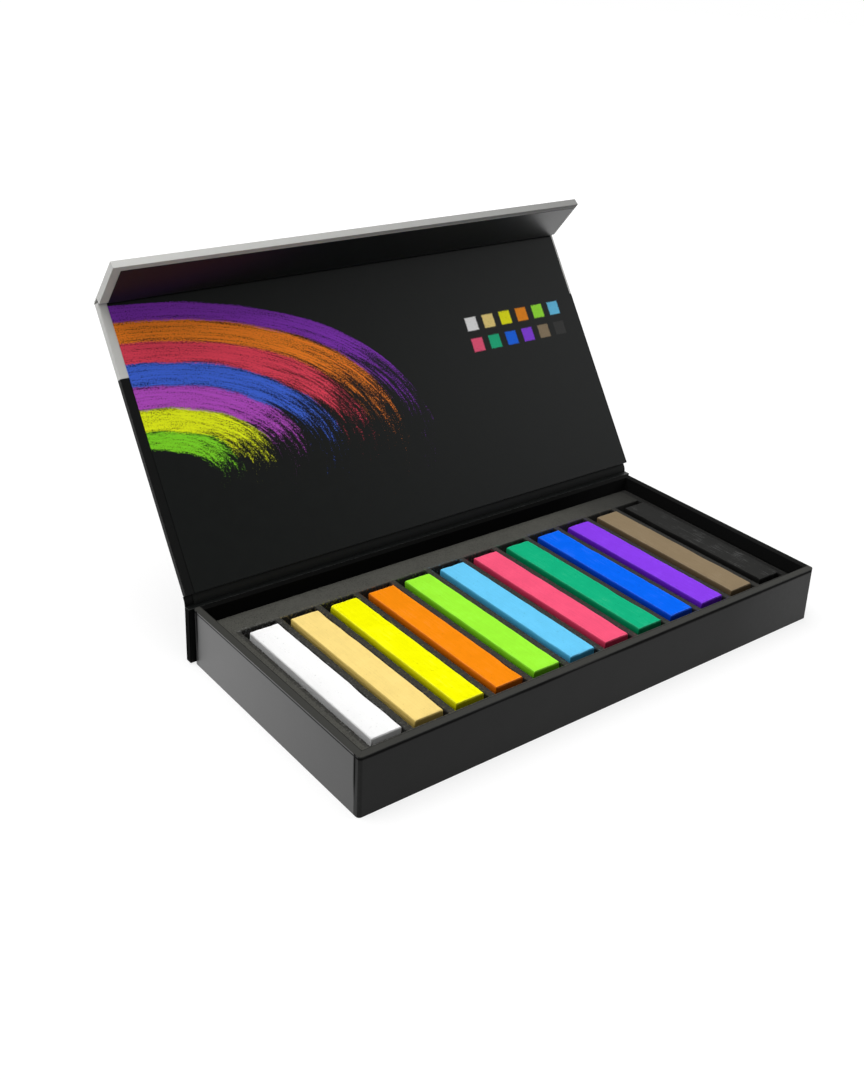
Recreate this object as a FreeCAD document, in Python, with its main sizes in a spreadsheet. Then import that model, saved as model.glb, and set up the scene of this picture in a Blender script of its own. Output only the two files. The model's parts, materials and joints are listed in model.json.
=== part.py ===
import FreeCAD, Part
import os
import re
import Sketcher

# Hinged box for square soft pastels, in millimetres. X runs along the row of pastels, Y from the
# front wall to the spine, Z up; the origin is the middle of the tray's underside. The lid stands
# open at its rest angle, with the flap bent a little past square.

V = FreeCAD.Vector
COINCIDENT = 1e-6
HINGE_PULL_SHARE = 1 / 3

STICKS = ["white", "peach", "yellow", "orange", "lime", "sky_blue",
          "rose", "green", "blue", "violet", "tan", "black"]

# Driving dimensions: each has its own name, value and meaning.
SIZES = [
    ("tray_height", 19.2, "tray, outside, floor to rim"),
    ("tray_board", 2.0, "thickness of the grey board in the tray"),
    ("wrap_paper", 0.2, "thickness of the outer paper"),
    ("lining_paper", 0.2, "thickness of the inner paper"),
    ("corner_radius", 1.2, "upright outer corners of the wrapped tray"),
    ("foam_fit", 0.2, "gap between the foam and the tray wall, each side"),
    ("pad_height", 3.0, "foam pad under the pastels"),
    ("foam_height", 8.9, "slotted foam sheet"),
    ("stick_length", 65, "pastel, along Y"),
    ("stick_width", 10, "pastel, along X"),
    ("stick_height", 10, "pastel, along Z"),
    ("stick_edge", 0.5, "small bevel along the pastel's edges"),
    ("stick_count", len(STICKS), "pastels in the row"),
    ("stick_seat_gap", 0.1, "under each pastel"),
    ("slot_side_gap", 0.9, "beside a pastel in its slot, each side"),
    ("slot_front_gap", 0.6, "in front of a pastel in its slot"),
    ("slot_rear_gap", 3.6, "behind a pastel in its slot"),
    ("slot_rib", 2.55, "foam between two slots"),
    ("slot_left_margin", 6.6, "foam left of the first slot"),
    ("slot_right_margin", 2.55, "foam right of the last slot"),
    ("slot_front_margin", 5.9, "foam in front of the slots"),
    ("slot_rear_margin", 9.7, "foam behind the slots"),
    ("cover_board", 2.2, "thickness of the boards in spine, lid and flap"),
    ("cover_overhang", 1.5, "cover past the tray, each end"),
    ("cover_turn_in", 12, "outer paper folded over onto the inner side"),
    ("lining_inset", 2.0, "outer paper left showing around the lining"),
    ("lining_shift", 0.9, "lining of lid and flap, glued a little to the right"),
    ("spine_floor_gap", 0.3, "spine's lower edge above the table"),
    ("closing_gap", 0.5, "closed lid above the rim"),
    ("flap_wall_gap", 0.3, "closed flap in front of the front wall"),
    ("flap_floor_gap", 0.4, "closed flap above the table"),
    ("fold_depth", 0.75, "both fold lines, in from the cover's outer faces"),
    ("lid_setback", 0.7, "lid's long edges, in from the spine's and flap's outer faces"),
    ("lid_rest_angle", 124, "lid opened from shut, in degrees"),
    ("flap_rest_angle", 106, "between the lid and the flap, in degrees"),
    ("magnet_radius", 5, "discs in the flap and in the front wall"),
    ("magnet_height", 1.5, "thickness of a magnet"),
    ("catch_height", 1.2, "thickness of a steel disc"),
    ("magnet_inset", 38.5, "from the cover's end to a disc's middle"),
]

# Places that follow from the driving dimensions, each written with the names above it.
PLACES = [
    ("slot_width", "stick_width + 2 * slot_side_gap"),
    ("slot_length", "slot_front_gap + stick_length + slot_rear_gap"),
    ("stick_pitch", "slot_width + slot_rib"),
    ("slot_row", "stick_count * stick_pitch - slot_rib"),
    ("foam_half_length", "(slot_left_margin + slot_row + slot_right_margin) / 2"),
    ("foam_half_depth", "(slot_front_margin + slot_length + slot_rear_margin) / 2"),
    ("mouth_half_length", "foam_half_length + foam_fit"),
    ("mouth_half_depth", "foam_half_depth + foam_fit"),
    ("room_half_length", "mouth_half_length + wrap_paper"),
    ("room_half_depth", "mouth_half_depth + wrap_paper"),
    ("board_half_length", "room_half_length + tray_board"),
    ("board_half_depth", "room_half_depth + tray_board"),
    ("tray_half_length", "board_half_length + wrap_paper"),
    ("tray_half_depth", "board_half_depth + wrap_paper"),
    ("board_top", "tray_height - wrap_paper"),
    ("board_radius", "corner_radius - wrap_paper"),
    ("floor_top", "wrap_paper + tray_board"),
    ("lining_top", "floor_top + lining_paper"),
    ("pad_top", "lining_top + pad_height"),
    ("foam_top", "pad_top + foam_height"),
    ("slot_left", "slot_left_margin - foam_half_length"),
    ("slot_front", "slot_front_margin - foam_half_depth"),
    ("stick_left", "slot_left + slot_side_gap"),
    ("stick_front", "slot_front + slot_front_gap"),
    ("stick_bottom", "pad_top + stick_seat_gap"),
    ("magnet_level", "tray_height / 2"),
    ("cover_half", "tray_half_length + cover_overhang"),
    ("cover_board_half", "cover_half - wrap_paper"),
    ("window_half", "cover_half - cover_turn_in"),
    ("lining_left", "lining_inset + lining_shift - cover_half"),
    ("lining_right", "cover_half - lining_inset + lining_shift"),
    ("spine_board_front", "tray_half_depth + wrap_paper"),
    ("spine_board_back", "spine_board_front + cover_board"),
    ("spine_back", "spine_board_back + wrap_paper"),
    ("lid_face", "tray_height + closing_gap"),
    ("lid_turn_in_face", "lid_face + lining_paper"),
    ("lid_board_bottom", "lid_turn_in_face + wrap_paper"),
    ("lid_board_top", "lid_board_bottom + cover_board"),
    ("cover_top", "lid_board_top + wrap_paper"),
    ("lid_rear", "spine_back - lid_setback"),
    ("flap_face", "-tray_half_depth - flap_wall_gap"),
    ("flap_turn_in_face", "flap_face - lining_paper"),
    ("flap_board_back", "flap_turn_in_face - wrap_paper"),
    ("flap_board_front", "flap_board_back - cover_board"),
    ("cover_front", "flap_board_front - wrap_paper"),
    ("lid_front", "cover_front + lid_setback"),
    ("fold_height", "cover_top - fold_depth"),
    ("lid_fold_place", "spine_back"),
    ("flap_fold_place", "cover_front + fold_depth"),
]

doc = FreeCAD.newDocument("pastel_box")
sheet = doc.addObject("Spreadsheet::Sheet", "Sizes")
for row, (alias, value, meaning) in enumerate(SIZES, 1):
    sheet.set(f"A{row}", alias)
    sheet.set(f"B{row}", str(value))
    sheet.set(f"C{row}", meaning)
    sheet.setAlias(f"B{row}", alias)
for row, (alias, formula) in enumerate(PLACES, len(SIZES) + 1):
    sheet.set(f"A{row}", alias)
    sheet.set(f"B{row}", "=" + formula)
    sheet.setAlias(f"B{row}", alias)
doc.recompute()

NAMES = [entry[0] for entry in SIZES + PLACES]
WORD = re.compile(r"\b(" + "|".join(sorted(NAMES, key=len, reverse=True)) + r")\b")


def size(name):
    """The value of one named size or place."""
    return float(sheet.get(name))


def tie(feature, **formulas):
    """Bind properties of a feature to formulas of named sizes."""
    for prop, formula in formulas.items():
        feature.setExpression(prop, WORD.sub(r"Sizes.\1", formula))


# The lid turns about its fold line behind the tray, and the flap about its own fold line first.
LID_TURN = ("placement(vector(0; 0; 0); rotation(vector(1; 0; 0); -lid_rest_angle);"
            " vector(0; lid_fold_place; fold_height))")
FLAP_TURN = LID_TURN + (" * placement(vector(0; 0; 0); rotation(vector(1; 0; 0); 90 - flap_rest_angle);"
                        " vector(0; flap_fold_place; fold_height))")
NO_TURN = "placement(vector(0; 0; 0); rotation(vector(1; 0; 0); 0))"

nodes = []


def node(feature, name, turn=None):
    """Mark a feature as one finished piece, turned with the lid or the flap if it rides there."""
    feature.Label = name
    if turn:
        tie(feature, Placement=turn)
    nodes.append(feature)
    return feature


def block(name, x, y, z, turn=NO_TURN):
    """A box between two formulas on each axis."""
    box = doc.addObject("Part::Box", name)
    tie(box, Length=f"({x[1]}) - ({x[0]})", Width=f"({y[1]}) - ({y[0]})", Height=f"({z[1]}) - ({z[0]})")
    corner = f"placement(vector({x[0]}; {y[0]}; {z[0]}); rotation(vector(1; 0; 0); 0))"
    tie(box, Placement=f"{turn} * {corner}")
    return box


def both(half):
    """The formulas for a stretch that lies evenly about zero."""
    return (f"-({half})", half)


def cut(name, base, *tools):
    """One solid less others."""
    result = base
    for index, tool in enumerate(tools, 1):
        less = doc.addObject("Part::Cut", f"{name}_cut{index}")
        less.Base = result
        less.Tool = tool
        result = less
    return result


def join(name, *parts):
    """Several solids as one."""
    fused = doc.addObject("Part::MultiFuse", f"{name}_join")
    fused.Shapes = list(parts)
    fused.Refine = True
    return fused


def plane(body, role):
    """One of a body's own origin planes."""
    return [item for item in body.Origin.OriginFeatures if item.Role == role][0]


def rectangle(body, name, x, y, level):
    """A closed rectangle sketched on the body's own XY plane at a level, from two formulas each way."""
    sketch = body.newObject("Sketcher::SketchObject", name)
    sketch.AttachmentSupport = (plane(body, "XY_Plane"), [""])
    sketch.MapMode = "FlatFace"
    tie(sketch, **{"AttachmentOffset.Base.z": level})
    corners = [V(-1, -1, 0), V(1, -1, 0), V(1, 1, 0), V(-1, 1, 0)]
    ways = ["Horizontal", "Vertical", "Horizontal", "Vertical"]
    for index, way in enumerate(ways):
        sketch.addGeometry(Part.LineSegment(corners[index], corners[(index + 1) % len(corners)]), False)
        sketch.addConstraint(Sketcher.Constraint(way, index))
    for index in range(len(corners)):
        sketch.addConstraint(Sketcher.Constraint("Coincident", index, 2, (index + 1) % len(corners), 1))
    # The front edge starts at the low corner and the rear edge at the high one.
    for edge, names, formulas in [(0, ("left", "front"), (x[0], y[0])), (2, ("right", "rear"), (x[1], y[1]))]:
        for way, name, formula, at in zip("XY", names, formulas, corners[edge]):
            held = sketch.addConstraint(Sketcher.Constraint(f"Distance{way}", -1, 1, edge, 1, at))
            sketch.renameConstraint(held, name)
            tie(sketch, **{f"Constraints.{name}": formula})
    return sketch


def pad(body, name, x, y, z):
    """A padded rectangle between two formulas on each axis."""
    feature = body.newObject("PartDesign::Pad", name)
    feature.Profile = rectangle(body, f"{name}_outline", x, y, z[0])
    tie(feature, Length=f"({z[1]}) - ({z[0]})")
    return feature


def pocket(body, name, x, y, z):
    """A rectangular pocket cut upwards between two formulas on each axis."""
    feature = body.newObject("PartDesign::Pocket", name)
    feature.Profile = rectangle(body, f"{name}_outline", x, y, z[0])
    feature.Reversed = True
    tie(feature, Length=f"({z[1]}) - ({z[0]})")
    return feature


def upright_edges(feature, keep):
    """Names of the vertical edges whose place passes a test."""
    names = []
    for index, edge in enumerate(feature.Shape.Edges, 1):
        low, high = [vertex.Point for vertex in edge.Vertexes]
        across = high - low
        across.z = 0
        if across.Length < COINCIDENT and keep(low):
            names.append(f"Edge{index}")
    return names


def round_corners(body, name, feature, keep, radius):
    """Round a pad's upright edges."""
    doc.recompute()
    fillet = body.newObject("PartDesign::Fillet", name)
    fillet.Base = (feature, upright_edges(feature, keep))
    tie(fillet, Radius=radius)
    return fillet


# Tray boards: front and back run the full length, the ends stand between them, the floor lies inside.
def tray_wall(name, x, y, outer):
    body = doc.addObject("PartDesign::Body", name)
    slab = pad(body, f"{name}_slab", x, y, ("wrap_paper", "board_top"))
    if outer:
        round_corners(body, f"{name}_corners", slab, lambda point: point.y * outer > size("room_half_depth"),
                      "board_radius")
    return body


tray_front = tray_wall("front_wall", both("board_half_length"), ("-board_half_depth", "-room_half_depth"), -1)
tray_back = tray_wall("back_wall", both("board_half_length"), ("room_half_depth", "board_half_depth"), 1)
tray_left = tray_wall("left_wall", ("-board_half_length", "-room_half_length"), both("room_half_depth"), 0)
tray_right = tray_wall("right_wall", ("room_half_length", "board_half_length"), both("room_half_depth"), 0)
tray_floor = block("tray_floor_board", both("room_half_length"), both("room_half_depth"),
                   ("wrap_paper", "floor_top"))


def disc(name, x, y_start, thickness, turn=NO_TURN):
    """A round disc with its axis along Y, from a formula for its front face."""
    piece = doc.addObject("Part::Cylinder", name)
    tie(piece, Radius="magnet_radius", Height=thickness)
    tie(piece, Placement=f"{turn} * placement(vector({x}; {y_start}; magnet_level);"
                         " rotation(vector(1; 0; 0); -90))")
    return piece


SIDES = [("left", "magnet_inset - cover_half"), ("right", "cover_half - magnet_inset")]

catch_seats = [disc(f"catch_seat_{side}", x, "-board_half_depth", "catch_height") for side, x in SIDES]
node(cut("front_board", tray_front, *catch_seats), "tray_front_board")
node(tray_back, "tray_back_board")
node(tray_left, "tray_left_board")
node(tray_right, "tray_right_board")
node(tray_floor, "tray_floor_board")
for side, x in SIDES:
    node(disc(f"catch_{side}", x, "-board_half_depth", "catch_height"), f"catch_disc_{side}")

# Tray papers: one sheet under the floor, and one band round the walls that turns over the rim.
base_paper = doc.addObject("PartDesign::Body", "base_paper")
base_sheet = pad(base_paper, "base_sheet", both("tray_half_length"), both("tray_half_depth"),
                 ("0", "wrap_paper"))
round_corners(base_paper, "base_corners", base_sheet, lambda point: True, "corner_radius")
node(base_paper, "tray_base_wrap")

wall_paper = doc.addObject("PartDesign::Body", "wall_paper")
paper_block = pad(wall_paper, "paper_block", both("tray_half_length"), both("tray_half_depth"),
                  ("wrap_paper", "tray_height"))
round_corners(wall_paper, "paper_corners", paper_block, lambda point: True, "corner_radius")
wall_core = doc.addObject("PartDesign::Body", "wall_core")
core_block = pad(wall_core, "core_block", both("board_half_length"), both("board_half_depth"),
                 ("wrap_paper", "board_top"))
round_corners(wall_core, "core_corners", core_block, lambda point: True, "board_radius")
outer_band = cut("outer_band", wall_paper, wall_core)
inner_band = block("inner_band", both("room_half_length"), both("room_half_depth"), ("floor_top", "board_top"))
mouth_room = block("mouth_room", both("mouth_half_length"), both("mouth_half_depth"),
                   ("wrap_paper", "tray_height"))
node(cut("side_wrap", join("side_wrap", outer_band, inner_band), mouth_room), "tray_side_wrap")
node(block("floor_lining", both("mouth_half_length"), both("mouth_half_depth"), ("floor_top", "lining_top")),
     "tray_floor_lining")

# Foam: a plain pad, and a sheet with one slot for each pastel.
node(block("pad_block", both("foam_half_length"), both("foam_half_depth"), ("lining_top", "pad_top")),
     "foam_base_pad")
foam = doc.addObject("PartDesign::Body", "foam")
foam_levels = ("pad_top", "foam_top")
pad(foam, "foam_sheet", both("foam_half_length"), both("foam_half_depth"), foam_levels)
doc.recompute()
first_slot = pocket(foam, "first_slot", ("slot_left", "slot_left + slot_width"),
                    ("slot_front", "slot_front + slot_length"), foam_levels)
slots = foam.newObject("PartDesign::LinearPattern", "slots")
slots.Originals = [first_slot]
slots.Direction = (first_slot.Profile[0], ["H_Axis"])
tie(slots, Length="stick_pitch * (stick_count - 1)", Occurrences="stick_count")
foam.Tip = slots
node(foam, "foam_insert")


def pastel(index, colour):
    """One square pastel with bevelled edges, in its slot."""
    body = doc.addObject("PartDesign::Body", f"pastel_{colour}")
    bar = pad(body, f"bar_{colour}", ("0", "stick_width"), ("0", "stick_length"), ("0", "stick_height"))
    doc.recompute()
    bevel = body.newObject("PartDesign::Chamfer", f"bevel_{colour}")
    bevel.Base = (bar, [f"Edge{number}" for number in range(1, len(bar.Shape.Edges) + 1)])
    tie(bevel, Size="stick_edge")
    tie(body, **{"Placement.Base.x": f"stick_left + {index} * stick_pitch",
                 "Placement.Base.y": "stick_front", "Placement.Base.z": "stick_bottom"})
    return node(body, f"pastel_{colour}")


for index, colour in enumerate(STICKS):
    pastel(index, colour)

# Spine: glued to the tray's back wall, wrapped outside and round its ends and lower edge.
spine_y = ("tray_half_depth", "spine_back")
spine_board_y = ("spine_board_front", "spine_board_back")
spine_board_z = ("spine_floor_gap + wrap_paper", "board_top")
node(block("spine_core", both("cover_board_half"), spine_board_y, spine_board_z), "spine_board")


def paper_cover(name, outside, board, window):
    """The outer paper of one board: what lies round the board and outside the window in its turn-in."""
    return cut(f"{name}_wrap", block(f"{name}_wrap_room", *outside), block(f"{name}_wrap_board", *board),
               block(f"{name}_wrap_window", *window))


def paper_lining(name, window, board, sheet_room):
    """The inner paper: it fills the window, and covers the turn-in up to its own inset."""
    fill = cut(f"{name}_lining", block(f"{name}_lining_window", *window), block(f"{name}_lining_board", *board))
    return join(f"{name}_lining", fill, block(f"{name}_lining_sheet", *sheet_room))


spine_room = (both("cover_half"), spine_y, ("spine_floor_gap", "tray_height"))
spine_solid = (both("cover_board_half"), spine_board_y, spine_board_z)
spine_window = (both("window_half"), ("tray_half_depth", "spine_board_back"),
                ("spine_floor_gap + cover_turn_in", "tray_height"))
spine_edge = (both("cover_half"), ("tray_half_depth", "spine_board_back"), ("board_top", "tray_height"))
spine_paper = paper_cover("spine", spine_room, spine_solid, spine_window)
node(cut("spine_wrap_edge", spine_paper, block("spine_wrap_top", *spine_edge)), "spine_wrap")
spine_fill = cut("spine_fill", block("spine_fill_window", *spine_window), block("spine_fill_board", *spine_solid))
node(join("spine_lining", spine_fill, block("spine_fill_top", *spine_edge)), "spine_lining")

# Lid: built shut, flat over the rim, then turned open.
lid_y = ("lid_front", "lid_rear")
lid_solid = (both("cover_board_half"), ("lid_front + wrap_paper", "lid_rear - wrap_paper"),
             ("lid_board_bottom", "lid_board_top"))
lid_room = (both("cover_half"), lid_y, ("lid_turn_in_face", "cover_top"))
lid_window = (both("window_half"), lid_y, ("lid_turn_in_face", "lid_board_top"))
lid_sheet = (("lining_left", "lining_right"), lid_y, ("lid_face", "lid_turn_in_face"))
node(block("lid_core", *lid_solid, turn=LID_TURN), "lid_board")
node(paper_cover("lid", lid_room, lid_solid, lid_window), "lid_wrap", LID_TURN)
node(paper_lining("lid", lid_window, lid_solid, lid_sheet), "lid_lining", LID_TURN)

# Flap: built shut, hanging in front of the front wall, then turned with the lid and on its own fold.
flap_solid = (both("cover_board_half"), ("flap_board_front", "flap_board_back"),
              ("flap_floor_gap + wrap_paper", "board_top"))
flap_room = (both("cover_half"), ("cover_front", "flap_turn_in_face"), ("flap_floor_gap", "tray_height"))
flap_window = (both("window_half"), ("flap_board_front", "flap_turn_in_face"),
               ("flap_floor_gap + cover_turn_in", "tray_height"))
flap_sheet = (("lining_left", "lining_right"), ("flap_turn_in_face", "flap_face"),
              ("flap_floor_gap + lining_inset", "tray_height"))
flap_magnet_front = "flap_board_back - magnet_height"
magnet_seats = [disc(f"magnet_seat_{side}", x, flap_magnet_front, "magnet_height") for side, x in SIDES]
node(cut("flap_board", block("flap_core", *flap_solid), *magnet_seats), "flap_board", FLAP_TURN)
for side, x in SIDES:
    node(disc(f"magnet_{side}", x, flap_magnet_front, "magnet_height", FLAP_TURN), f"flap_magnet_{side}")
node(paper_cover("flap", flap_room, flap_solid, flap_window), "flap_wrap", FLAP_TURN)
node(paper_lining("flap", flap_window, flap_solid, flap_sheet), "flap_lining", FLAP_TURN)


# Paper hinges: outer paper and lining glued together, bridging the gap from one board to the next.
def turned(point, pivot, degrees):
    """A point of the shut cover, turned about a fold line along X."""
    turn = FreeCAD.Rotation(V(1, 0, 0), degrees)
    return pivot + turn.multVec(point - pivot)


def paper_hinge(name, start, end):
    """A strip between two paper edges: each edge is its outer point, its inner point and its way on."""
    reach = (end[0] - start[0]).Length * HINGE_PULL_SHARE
    curves = []
    for side in (0, 1):
        poles = [start[side], start[side] + start[2] * reach, end[side] - end[2] * reach, end[side]]
        curve = Part.BezierCurve()
        curve.setPoles(poles)
        curves.append(curve.toShape())
    section = Part.Face(Part.Wire([curves[0], Part.makeLine(end[0], end[1]), curves[1].reversed(),
                                   Part.makeLine(start[1], start[0])]))
    strip = doc.addObject("Part::Feature", name)
    strip.Shape = section.extrude(V(2 * size("cover_half"), 0, 0))
    return strip


left_end = -size("cover_half")
paper = size("wrap_paper")
both_papers = paper + size("lining_paper")
spine_back = size("spine_back")
cover_top = size("cover_top")
cover_front = size("cover_front")
rim = size("tray_height")
lid_fold = V(left_end, size("lid_fold_place"), size("fold_height"))
flap_fold = V(left_end, size("flap_fold_place"), size("fold_height"))
lid_angle = -size("lid_rest_angle")
flap_angle = 90 - size("flap_rest_angle")

spine_end = (V(left_end, spine_back, rim), V(left_end, spine_back - both_papers, rim), V(0, 0, 1))
lid_rear_outer = V(left_end, size("lid_rear"), cover_top)
lid_rear_inner = V(left_end, size("lid_rear"), cover_top - both_papers)
lid_rear_end = (turned(lid_rear_outer, lid_fold, lid_angle), turned(lid_rear_inner, lid_fold, lid_angle),
                FreeCAD.Rotation(V(1, 0, 0), lid_angle).multVec(V(0, -1, 0)))
node(paper_hinge("lid_hinge_strip", spine_end, lid_rear_end), "lid_hinge_paper")

lid_front_outer = V(left_end, size("lid_front"), cover_top)
lid_front_inner = V(left_end, size("lid_front"), cover_top - both_papers)
flap_top_outer = V(left_end, cover_front, rim)
flap_top_inner = V(left_end, cover_front + both_papers, rim)
lid_front_end = (lid_front_outer, lid_front_inner, V(0, -1, 0))
flap_top_end = (turned(flap_top_outer, flap_fold, flap_angle), turned(flap_top_inner, flap_fold, flap_angle),
                FreeCAD.Rotation(V(1, 0, 0), flap_angle).multVec(V(0, 0, -1)))
flap_strip = node(paper_hinge("flap_hinge_strip", lid_front_end, flap_top_end), "flap_hinge_paper")
tie(flap_strip, Placement=LID_TURN)

doc.recompute()

for item in doc.Objects:
    if "Invalid" in item.State or "Error" in item.State:
        raise RuntimeError(f"{item.Name} failed: {item.State}")

os.makedirs("parts", exist_ok=True)
for piece in nodes:
    shape = piece.Shape
    if shape.isNull() or not shape.isValid():
        raise RuntimeError(f"{piece.Label} has no valid shape")
    shape.exportStep(os.path.join("parts", f"{piece.Label}.step"))
    box = shape.BoundBox
    print(f"{piece.Label:18s} solids {len(shape.Solids)}  volume {shape.Volume:9.1f}"
          f"  x {box.XMin:.2f}..{box.XMax:.2f}  y {box.YMin:.2f}..{box.YMax:.2f}  z {box.ZMin:.2f}..{box.ZMax:.2f}")

fold_at_rest = turned(flap_fold, lid_fold, lid_angle)
print(f"lid fold line: y {lid_fold.y:.3f} z {lid_fold.z:.3f}")
print(f"flap fold line at rest: y {fold_at_rest.y:.3f} z {fold_at_rest.z:.3f}")
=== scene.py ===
# %% [markdown]
# # A hinged box of twelve soft pastels
#
# The real object is a stiff cardboard box that opens like a book. A tray wrapped in black satin paper
# holds a foam sheet with twelve slots, and a square stick of pastel lies in each. The cover has three
# boards: a spine that is glued to the back of the tray, a lid, and a narrow flap along the lid's free
# edge. Paper hinges join them.
#
# The sizes come from the packed CAD model, which is loaded first and never moved. Each step below adds
# one piece or one finish over it. All lengths are in metres, and one millimetre is written as `MM`.

import json
from math import cos, degrees, radians, sin

import bmesh
import bpy
from mathutils import Matrix, Vector, noise


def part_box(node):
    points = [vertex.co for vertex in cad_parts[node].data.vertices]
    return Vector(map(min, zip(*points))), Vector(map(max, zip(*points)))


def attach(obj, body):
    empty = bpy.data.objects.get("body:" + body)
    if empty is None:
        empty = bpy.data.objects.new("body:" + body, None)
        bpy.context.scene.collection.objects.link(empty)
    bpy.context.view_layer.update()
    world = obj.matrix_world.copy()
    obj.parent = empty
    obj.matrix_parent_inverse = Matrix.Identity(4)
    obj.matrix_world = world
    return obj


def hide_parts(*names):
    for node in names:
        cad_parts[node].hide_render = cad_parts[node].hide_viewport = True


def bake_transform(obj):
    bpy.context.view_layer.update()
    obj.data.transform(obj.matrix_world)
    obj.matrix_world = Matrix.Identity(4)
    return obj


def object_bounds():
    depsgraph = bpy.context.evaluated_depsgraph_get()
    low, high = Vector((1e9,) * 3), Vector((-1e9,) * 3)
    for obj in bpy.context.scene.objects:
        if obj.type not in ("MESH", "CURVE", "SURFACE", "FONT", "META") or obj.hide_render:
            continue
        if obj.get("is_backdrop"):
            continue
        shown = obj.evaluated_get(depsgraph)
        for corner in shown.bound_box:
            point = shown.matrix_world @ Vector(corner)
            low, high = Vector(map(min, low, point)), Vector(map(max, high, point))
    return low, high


MM = 0.001
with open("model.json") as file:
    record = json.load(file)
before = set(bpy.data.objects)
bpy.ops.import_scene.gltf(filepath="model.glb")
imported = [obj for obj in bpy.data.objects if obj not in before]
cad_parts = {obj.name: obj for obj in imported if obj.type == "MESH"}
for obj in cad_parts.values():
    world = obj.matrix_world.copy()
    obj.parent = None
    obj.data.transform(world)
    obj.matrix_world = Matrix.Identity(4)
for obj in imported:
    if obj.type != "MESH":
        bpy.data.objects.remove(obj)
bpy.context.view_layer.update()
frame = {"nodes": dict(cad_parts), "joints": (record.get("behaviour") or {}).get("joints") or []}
cad = frame["nodes"]

# %% [markdown]
# ## The camera
#
# The photograph was taken from the front left, a little above the box, with the camera turned by about
# three degrees. A camera could be placed by eye, but its place was worked out instead from the corners
# of the tray, the lid and the sticks, because then every piece can be compared with the photograph.
# Blender fits its sensor to the longer side of the frame, which is the height here. So the focal
# length and the shifts, which are known in the photograph's pixels, are divided by its height.

# %% Place the camera
PHOTO_WIDTH, PHOTO_HEIGHT = 864, 1080
FOCAL_PIXELS = 1316.1
LENS_PIXEL_X, LENS_PIXEL_Y = 475.5, 442.9
AZIMUTH, ELEVATION, ROLL = radians(-39.76), radians(23.03), radians(3.14)
LOOKED_AT, DISTANCE = Vector((90.2, 134.6, 0)) * MM, 577.3 * MM


def put(name, data):
    """A new object in the scene, at the origin."""
    made = bpy.data.objects.new(name, data)
    bpy.context.scene.collection.objects.link(made)
    return made


backwards = Vector((sin(AZIMUTH) * cos(ELEVATION), -cos(AZIMUTH) * cos(ELEVATION), sin(ELEVATION)))
level = Vector((0, 0, 1)).cross(backwards).normalized()
upright = backwards.cross(level)
across = level * cos(ROLL) + upright * sin(ROLL)
upwards = upright * cos(ROLL) - level * sin(ROLL)

camera_data = bpy.data.cameras.new("photo_camera")
camera_data.lens = camera_data.sensor_width * FOCAL_PIXELS / PHOTO_HEIGHT
camera_data.shift_x = (PHOTO_WIDTH / 2 - LENS_PIXEL_X) / PHOTO_HEIGHT
camera_data.shift_y = (LENS_PIXEL_Y - PHOTO_HEIGHT / 2) / PHOTO_HEIGHT
camera = put("photo_camera", camera_data)
camera.matrix_world = (Matrix.Translation(LOOKED_AT + backwards * DISTANCE)
                       @ Matrix((across, upwards, backwards)).transposed().to_4x4())
bpy.context.scene.camera = camera
bpy.context.scene.view_settings.view_transform = "Standard"
print("camera at", [round(value / MM) for value in camera.location], "mm, lens", round(camera_data.lens, 1))

# %% [markdown]
# ## Writing a finish
#
# Paper, foam and chalk all differ from place to place, so every finish here is worked out by nodes.
# Wiring them by hand takes many lines, so two small classes write them. `Amount` is one value in a
# material, and a sum on it adds a Math node. `Finish` is the material, with a method for each job.

# %% A value that writes its own nodes
class Amount:
    """One value in a finish. A sum on it adds a Math node."""

    def __init__(self, finish, socket):
        self.finish, self.socket = finish, socket

    def __add__(self, other):
        return self.finish.math("ADD", self, other)

    def __radd__(self, other):
        return self.finish.math("ADD", other, self)

    def __sub__(self, other):
        return self.finish.math("SUBTRACT", self, other)

    def __rsub__(self, other):
        return self.finish.math("SUBTRACT", other, self)

    def __mul__(self, other):
        return self.finish.math("MULTIPLY", self, other)

    def __rmul__(self, other):
        return self.finish.math("MULTIPLY", other, self)

    def __truediv__(self, other):
        return self.finish.math("DIVIDE", self, other)

    def __rtruediv__(self, other):
        return self.finish.math("DIVIDE", other, self)

    def __abs__(self):
        return self.finish.math("ABSOLUTE", self)


print("an Amount can be added, subtracted, multiplied and divided, on either side")


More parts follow.
